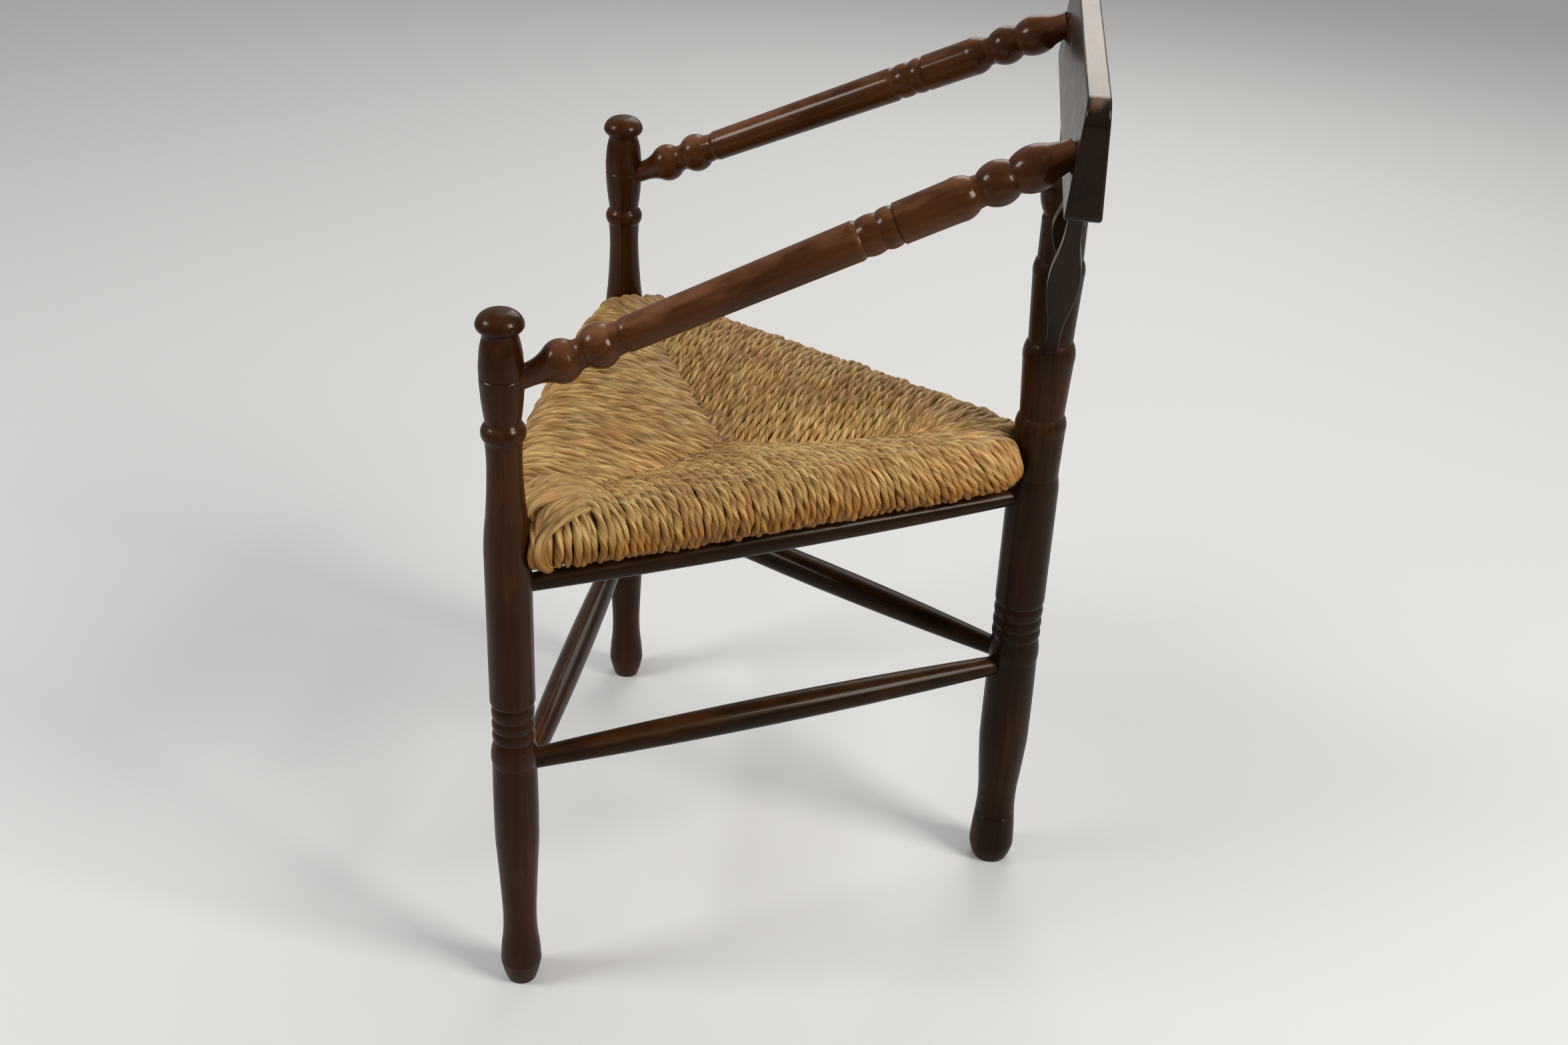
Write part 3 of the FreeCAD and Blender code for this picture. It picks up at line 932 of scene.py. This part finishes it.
@dataclass
class RushSeat:
    """The woven seat: three panels of cords over three rails, round a loose packing."""

    plan: SeatPlan = SeatPlan()
    style: CordStyle = CordStyle()
    flat_style: CordStyle = CordStyle(radius=0.0042, lobe_offset=0.22)
    folds: FoldGuides = FoldGuides()
    rush: TwistedRush = TwistedRush()
    flat_rush: TwistedRush = TwistedRush(tan=(0.315, 0.175, 0.055), straw=(0.450, 0.285, 0.105))
    straw: LooseStraw = LooseStraw()
    seed: int = 41
    fold_seed: int = 51
    packing_merge: float = 1e-5
    packing_cuts: int = 5
    packing_rounds: int = 6
    packing_ease: float = 0.5
    packing_fill: float = 0.9

    def frames(self) -> dict:
        """Lays out the seat's triangle.

        Returns:
            A PanelFrame for each Panel.
        """
        plan = self.plan
        left = Vector((plan.corner_x, plan.front_y, 0.0))
        right = Vector((-plan.corner_x, plan.front_y, 0.0))
        back = Vector((0.0, plan.back_y, 0.0))
        front_side = (left - right).length
        side = (left - back).length
        inner_y = 2.0 * plan.corner_x * (plan.back_y - plan.front_y) / (front_side + 2.0 * side)
        middle = Vector((0.0, plan.front_y + inner_y, 0.0))
        front = (middle, plan.front_rail_z, plan.front_reach)
        beside = (middle, plan.side_rail_z, plan.side_reach)
        return {
            Panel.FRONT: PanelFrame(right, left, *front, False, False),
            Panel.LEFT: PanelFrame(left, back, *beside, False, True),
            Panel.RIGHT: PanelFrame(back, right, *beside, True, False),
        }

    def span(self, ends: tuple, heights: tuple, steps: int) -> list:
        """Points of a cord between its rail and its seam, leaving the rail gently.

        Args:
            ends: where it leaves the rail and where it meets the seam, in plan.
            heights: its height at each of them.
            steps: how many stretches it has.

        Returns:
            The points, without the one at the rail.
        """
        (rail, seam), (rail_z, seam_z) = ends, heights
        points = []
        for index in range(1, steps + 1):
            part = index / steps
            height = rail_z + (seam_z - rail_z) * part**self.plan.bulge
            points.append(Vector((*rail.lerp(seam, part).xy, height)))
        return points

    def cord_line(self, frame: PanelFrame, station: float, lift: float, over: float) -> list:
        """Centre line of one cord, from the under seam round the rail to the upper seam.

        Args:
            frame: the panel's lines.
            station: metres along the rail.
            lift: how much higher than its neighbours the cord rides on the rail.
            over: how far its end reaches past the seam.

        Returns:
            Points of the line.
        """
        plan = self.plan
        inner, share = frame.seam_point(station)
        head = frame.start + frame.along * station
        back, front, forward = frame.corner_gaps(station)
        tall = plan.roll_height * (1.0 - fading(min(back, front), plan.post_thinning)) + lift
        low = tall - fading(back, plan.back_rise)
        pressed = fading(front - plan.press_from, plan.press)
        tall -= pressed
        wide = frame.outward_reach(station) + lift - plan.press_outside * pressed
        wide -= fading(back, plan.back_tuck)
        from_back = back - plan.back_clearance
        slant = min(fading(from_back, plan.back_skew), plan.back_skew_most * max(from_back, 0.0))
        hug = fading(front - plan.front_clearance, plan.front_skew)
        foot = head - forward * slant
        top = frame.rail_z + tall
        bottom = frame.rail_z - low
        seam_top = plan.side_rail_z + plan.roll_height - plan.sag * smooth(share)
        seam_top -= plan.press_at_seam * pressed
        seam_bottom = bottom - plan.under_sag * smooth(share)
        steps = max(plan.least_span_steps, int((inner - head).length / plan.span_step))
        points = [inner + Vector((0.0, 0.0, seam_bottom + plan.seam_dive))]
        points += reversed(self.span((foot, inner), (bottom, seam_bottom), steps))
        for index in range(plan.round_steps + 1):
            angle = math.radians(-90.0 - 180.0 * index / plan.round_steps)
            rise = math.sin(angle)
            place = foot.lerp(head, 0.5 + 0.5 * rise) + frame.inward * (wide * math.cos(angle))
            place = place - forward * (hug * math.cos(angle))
            points.append(Vector((*place.xy, frame.rail_z + rise * (tall if rise > 0.0 else low))))
        points += self.span((head, inner), (top, seam_top), steps)
        past = inner + (inner - head).normalized() * over
        points.append(Vector((*past.xy, seam_top - plan.seam_dive)))
        return points

    def short_cord_line(self, frame: PanelFrame, aside: float) -> list:
        """Centre line of a short cord from the seam to the back post, where it dives out of sight.

        Args:
            frame: the panel's lines.
            aside: where it ends, in metres beside the middle line.

        Returns:
            Points of the line.
        """
        plan = self.plan
        inner, share = frame.seam_point(0.0 if frame.fan_start else frame.length)
        seam_top = plan.side_rail_z + plan.roll_height - plan.sag * smooth(share)
        top = plan.side_rail_z + plan.roll_height * (1.0 - plan.post_thinning[0])
        end = Vector((aside, plan.back_y - plan.post_clearance, 0.0))
        points = [Vector((*end.xy, top - dive)) for dive in plan.post_dive]
        points += self.span((end, inner), (top, seam_top), plan.short_cord_steps)
        points.append(Vector((*inner.xy, seam_top - plan.seam_dive)))
        return points

    def fold(self, name: str, side: float, material: bpy.types.Material) -> bpy.types.Object:
        """Lays the flat strands that fold over a front corner and wrap down beside the post.

        Args:
            name: the piece's name.
            side: 1 for the sitter's left, -1 for the right.
            material: the rush.

        Returns:
            The strands as one object.
        """
        bundle = CordBundle(name, self.flat_style, self.fold_seed + int(side))
        chance = bundle.chance
        folds = self.folds
        inner = (folds.curl, folds.tuck, folds.inner_strands)
        outer = (folds.flank, folds.wrap, folds.outer_strands)
        for start, end, count in (inner, outer):
            for index in range(count):
                share = index / (count - 1)
                lift = Vector((0.0, 0.0, chance.uniform(*folds.lift)))
                line = []
                for first, last in zip(start, end):
                    point = Vector(first).lerp(Vector(last), share) + lift
                    line.append(Vector((side * point.x, point.y + FRONT_LINE_Y, point.z)))
                bundle.add(rounded(line), chance.uniform(*folds.thickness), chance.uniform(*folds.lay))
        return bundle.build(material)

    def weave(self, panel: Panel, material: bpy.types.Material) -> bpy.types.Object:
        """Winds one panel's cords round its rail.

        Args:
            panel: which panel.
            material: the rush.

        Returns:
            The panel as one object.
        """
        plan, style, frame = self.plan, self.style, self.frames()[panel]
        bundle = CordBundle(f"rush_{panel.value}_panel", style, self.seed + list(Panel).index(panel))
        first = plan.back_clearance if frame.fan_start else plan.front_clearance
        last = plan.back_clearance if frame.fan_end else plan.front_clearance
        usable = frame.length - first - last
        count = int(round(usable / style.pitch))
        chance = bundle.chance
        for index in range(count + 1):
            station = first + usable * index / count + chance.uniform(*style.place)
            past_seam = style.past_seam[index % 2]
            line = self.cord_line(frame, station, chance.uniform(*style.lift), past_seam)
            back, front, _ = frame.corner_gaps(station)
            lay = style.front_lay if panel is Panel.FRONT else 1.0 + fading(back, style.back_lay)
            lay += fading(front - style.corner_lay_from, style.corner_lay)
            bundle.add(line, chance.uniform(*style.thickness), lay * chance.uniform(*style.lay_spread))
        if panel is not Panel.FRONT:
            side = 1.0 if panel is Panel.LEFT else -1.0
            for aside in plan.short_cord_places:
                bundle.add(self.short_cord_line(frame, side * aside), 1.0, style.short_cord_lay)
        return bundle.build(material)

    def packing(self, source: bpy.types.Object, material: bpy.types.Material) -> bpy.types.Object:
        """Soft packing between the layers, rounded from the CAD stuffing's own form.

        Args:
            source: the CAD stuffing.
            material: what the packing is made of.

        Returns:
            The packing, a little inside the CAD solid.
        """
        bm = bmesh.new()
        bm.from_mesh(source.data)
        bmesh.ops.remove_doubles(bm, verts=bm.verts, dist=self.packing_merge)
        bmesh.ops.subdivide_edges(bm, edges=bm.edges, cuts=self.packing_cuts, use_grid_fill=True)
        axes = {"use_axis_x": True, "use_axis_y": True, "use_axis_z": True}
        for _ in range(self.packing_rounds):
            bmesh.ops.smooth_vert(bm, verts=bm.verts, factor=self.packing_ease, **axes)
        bmesh.ops.recalc_face_normals(bm, faces=bm.faces)
        mesh = bpy.data.meshes.new("seat_packing")
        bm.to_mesh(mesh)
        bm.free()
        mesh.shade_smooth()
        mesh.materials.append(material)
        made = bpy.data.objects.new("seat_packing", mesh)
        bpy.context.scene.collection.objects.link(made)
        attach(made, BODY)
        return made

    def build(self, nodes: dict) -> list:
        """Builds the seat in place of the CAD's plain soft solids.

        Args:
            nodes: the frame's CAD objects by name.

        Returns:
            The seat's pieces.
        """
        rush = self.rush.make("twisted_rush")
        panels = [self.weave(panel, rush) for panel in Panel]
        flat = self.flat_rush.make("flat_rush")
        folds = [self.fold("rush_left_fold", 1.0, flat), self.fold("rush_right_fold", -1.0, flat)]
        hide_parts("rush_seat")
        packing = self.packing(nodes["seat_stuffing"], self.straw.make("straw_packing"))
        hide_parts("seat_stuffing")
        return [*panels, *folds, packing]


@dataclass(frozen=True)
class GrainPlan:
    """Where the wooden pieces' axes run, so that each one's grain follows its length.

    Points are x, y and z in metres on the sitter's left; the right side mirrors them.
    """

    front_foot: tuple = (0.2345, FRONT_LINE_Y, 0.0)
    front_head: tuple = (0.2243, FRONT_LINE_Y - 0.0009, 0.6246)
    back_foot: tuple = (0.0, 0.2042, 0.0)
    back_head: tuple = (0.0, 0.1991, 0.7165)
    board_middle: tuple = (0.0, 0.199, 0.757)
    board_aside: tuple = (1.0, 0.199, 0.757)
    arm_front: tuple = (0.2253, FRONT_LINE_Y - 0.0008, 0.5655)
    arm_back: tuple = (0.1675, 0.1895, 0.753)
    splat_foot: tuple = (0.0194, 0.2, 0.541)
    splat_head: tuple = (0.144, 0.1991, 0.7165)
    inner_splat_foot: tuple = (0.0194, 0.2, 0.608)
    inner_splat_head: tuple = (0.0964, 0.1991, 0.7165)
    bar_front: tuple = (0.2307, FRONT_LINE_Y)
    bar_back: tuple = (0.0, 0.2022)
    stretcher_z: float = 0.226
    seat_bar_z: float = 0.396
    seat_rail_z: float = 0.431

    def lines(self) -> dict:
        """Lists the axes.

        Returns:
            Two points for each wooden node, by the node's name.
        """
        lines = {
            "back_post": (Vector(self.back_foot), Vector(self.back_head)),
            "crest_board": (Vector(self.board_middle), Vector(self.board_aside)),
        }
        pairs = {
            "front_{}_post": (self.front_foot, self.front_head),
            "{}_arm": (self.arm_front, self.arm_back),
            "{}_splat": (self.splat_foot, self.splat_head),
            "{}_inner_splat": (self.inner_splat_foot, self.inner_splat_head),
        }
        heights = {"stretcher": self.stretcher_z, "seat_bar": self.seat_bar_z, "seat_rail": self.seat_rail_z}
        for kind, height in heights.items():
            pairs["{}_" + kind] = ((*self.bar_front, height), (*self.bar_back, height))
        for side, sign in (("left", 1.0), ("right", -1.0)):
            mirror = Vector((sign, 1.0, 1.0))
            for name, (start, end) in pairs.items():
                lines[name.format(side)] = (Vector(start) * mirror, Vector(end) * mirror)
        for kind in heights:
            lines[f"front_{kind}"] = (lines[f"left_{kind}"][0], lines[f"right_{kind}"][0])
        return lines


@dataclass
class WoodWork:
    """The turned posts, arms, bars, splats and the crest board."""

    grain: GrainPlan = GrainPlan()
    rails: BareWood = BareWood()
    shaded: StainedWood = StainedWood()
    posts: StainedWood = StainedWood(
        dark=(0.0132, 0.0040, 0.0007),
        middle=(0.0255, 0.0072, 0.0012),
        light=(0.0500, 0.0155, 0.0030),
        coat=0.18,
    )
    # Arms: redder, and paler along their tops from scuffs and painted light.
    arm_wear_and_roll_shade: StainedWood = StainedWood(
        dark=(0.0280, 0.0082, 0.0020),
        middle=(0.0540, 0.0165, 0.0036),
        light=(0.0950, 0.0310, 0.0080),
        worn_and_lit=(0.1800, 0.0720, 0.0330),
        wear_and_light=0.7,
        coat=0.24,
    )
    # Crest board: a strong paler mix from scuffs and painted light on its top edge.
    board_scuffs_and_top_light: StainedWood = StainedWood(worn_and_lit=(0.150, 0.098, 0.060), wear_and_light=0.85, coat=0.30)

    def finish_of(self, name: str) -> StainedWood:
        """Picks a stained node's finish.

        Args:
            name: the node's name.

        Returns:
            Redder and scuffed, with painted light on top, for the arms; paler on top for the crest board,
            from scuffs and painted light; darkest for what stands behind.
        """
        if name.endswith("arm"):
            return self.arm_wear_and_roll_shade
        if name == "crest_board":
            return self.board_scuffs_and_top_light
        return self.posts if name.startswith("front") else self.shaded

    def dress(self, nodes: dict) -> list:
        """Gives every wooden node its own grain.

        Args:
            nodes: the frame's CAD objects by name.

        Returns:
            The dressed nodes' objects.
        """
        dressed = []
        for name, (start, end) in self.grain.lines().items():
            if name.endswith("rail"):
                finish = self.rails.make(f"bare_{name}", start, end)
            else:
                finish = self.finish_of(name).make(f"stained_{name}", start, end)
            nodes[name].data.materials[0] = finish
            dressed.append(nodes[name])
        return dressed


@dataclass(frozen=True)
class Lamp:
    """A soft square lamp: where it hangs, its side in metres, its watts and its colour."""

    name: str
    place: tuple
    size: float
    power: float
    tint: tuple


@dataclass
class Studio:
    """Floor, light and the camera that took the photo."""

    location: tuple = (1.3873, 0.1219, 1.1533)
    direction: tuple = (-0.86056, -0.08224, -0.50267)
    roll_deg: float = 2.88
    lens_mm: float = 42.03
    sensor_mm: float = 36.0
    floor_size: float = 60.0
    floor_colour: tuple = (0.62, 0.61, 0.59)
    floor_roughness: float = 0.7
    sky_colour: tuple = (0.80, 0.81, 0.83)
    sky_strength: float = 0.46
    lamp_aim: tuple = (0.0, 0.0, 0.45)
    lamps: tuple = (
        Lamp("window", (1.0, 2.4, 2.3), 1.1, 86.0, (1.0, 0.98, 0.95)),
        Lamp("far_window", (0.9, -2.3, 2.2), 0.9, 46.0, (0.97, 0.98, 1.0)),
        Lamp("fill", (-2.3, 0.3, 2.0), 1.6, 26.0, (1.0, 0.99, 0.97)),
    )

    def camera(self) -> None:
        """Puts the scene's camera where the photo was taken."""
        data = bpy.data.cameras.new("camera")
        data.lens = self.lens_mm
        data.sensor_width = self.sensor_mm
        data.sensor_fit = "HORIZONTAL"
        camera = bpy.data.objects.new("camera", data)
        bpy.context.scene.collection.objects.link(camera)
        aim = Vector(self.direction).to_track_quat("-Z", "Y")
        roll = Quaternion((0.0, 0.0, 1.0), math.radians(self.roll_deg))
        camera.rotation_mode = "QUATERNION"
        camera.rotation_quaternion = aim @ roll
        camera.location = self.location
        bpy.context.scene.camera = camera

    def hang(self, lamp: Lamp) -> None:
        """Adds one lamp, aimed at the chair.

        Args:
            lamp: the lamp.
        """
        data = bpy.data.lights.new(lamp.name, "AREA")
        data.size = lamp.size
        data.energy = lamp.power
        data.color = lamp.tint
        made = bpy.data.objects.new(lamp.name, data)
        made.location = lamp.place
        way = Vector(self.lamp_aim) - Vector(lamp.place)
        made.rotation_euler = way.to_track_quat("-Z", "Y").to_euler()
        bpy.context.scene.collection.objects.link(made)

    def lay_floor(self) -> None:
        """Lays the pale floor."""
        bm = bmesh.new()
        bmesh.ops.create_grid(bm, x_segments=1, y_segments=1, size=self.floor_size)
        mesh = bpy.data.meshes.new("floor")
        bm.to_mesh(mesh)
        bm.free()
        floor = bpy.data.objects.new("floor", mesh)
        bpy.context.scene.collection.objects.link(floor)
        paint = Sheet("floor_paint")
        paint.finish(Base_Color=self.floor_colour, Roughness=self.floor_roughness)
        mesh.materials.append(paint.material)

    def build(self) -> None:
        """Lays the floor, lights it and sets the camera."""
        self.lay_floor()
        world = bpy.data.worlds.new("world")
        bpy.context.scene.world = world
        world.use_nodes = True
        sky = world.node_tree.nodes["Background"]
        sky.inputs["Color"].default_value = (*self.sky_colour, 1.0)
        sky.inputs["Strength"].default_value = self.sky_strength
        for lamp in self.lamps:
            self.hang(lamp)
        bpy.context.scene.view_settings.view_transform = "Standard"
        self.camera()


def main() -> None:
    """Builds the whole scene and reports each piece."""
    noise.seed_set(NOISE_SEED)
    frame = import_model()
    pieces = WoodWork().dress(frame["nodes"]) + RushSeat().build(frame["nodes"])
    for piece in pieces:
        LOG.info("%s: %d faces of %s", piece.name, len(piece.data.polygons), piece.data.materials[0].name)
    Studio().build()


if __name__ == "__main__":
    logging.basicConfig(level=logging.INFO)
    main()
